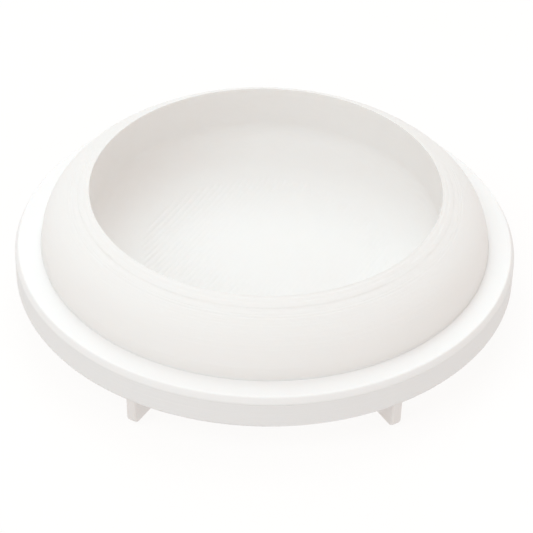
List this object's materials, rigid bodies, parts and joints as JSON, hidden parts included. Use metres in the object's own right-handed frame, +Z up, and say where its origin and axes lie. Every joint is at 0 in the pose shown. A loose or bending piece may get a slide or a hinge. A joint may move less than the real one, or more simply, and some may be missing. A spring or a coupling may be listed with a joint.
{
  "type": "mixing palette dish",
  "caption": "Round footed mixing dish: a drop-in bowl with a rounded collar, carried by a flat flange ring on blade feet.",
  "frame": {"origin": "on the surface the dish stands on, under the middle of the ring", "axes": "+Z up along the dish's axis; +X towards foot_right; -Y is the front"},
  "size_m": [0.05, 0.05, 0.0123],
  "materials": {
    "bowl_print": "warm white printed plastic, with contour steps and raster lines",
    "ring_print": "warm white printed plastic, with the fine grain of the print bed on its top face",
    "foot_print": "warm white printed plastic"
  },
  "bodies": {
    "ring": {"flange_ring": "ring_print", "foot_right": "foot_print", "foot_back_right": "foot_print", "foot_back_left": "foot_print", "foot_left": "foot_print", "foot_front_left": "foot_print", "foot_front_right": "foot_print"},
    "bowl": {"bowl": "bowl_print"}
  },
  "joints": [
    {"name": "bowl_lift", "type": "slide", "parent": "ring", "child": "bowl", "axis": [0, 0, 1], "range_m": [0, 0.015]}
  ]
}
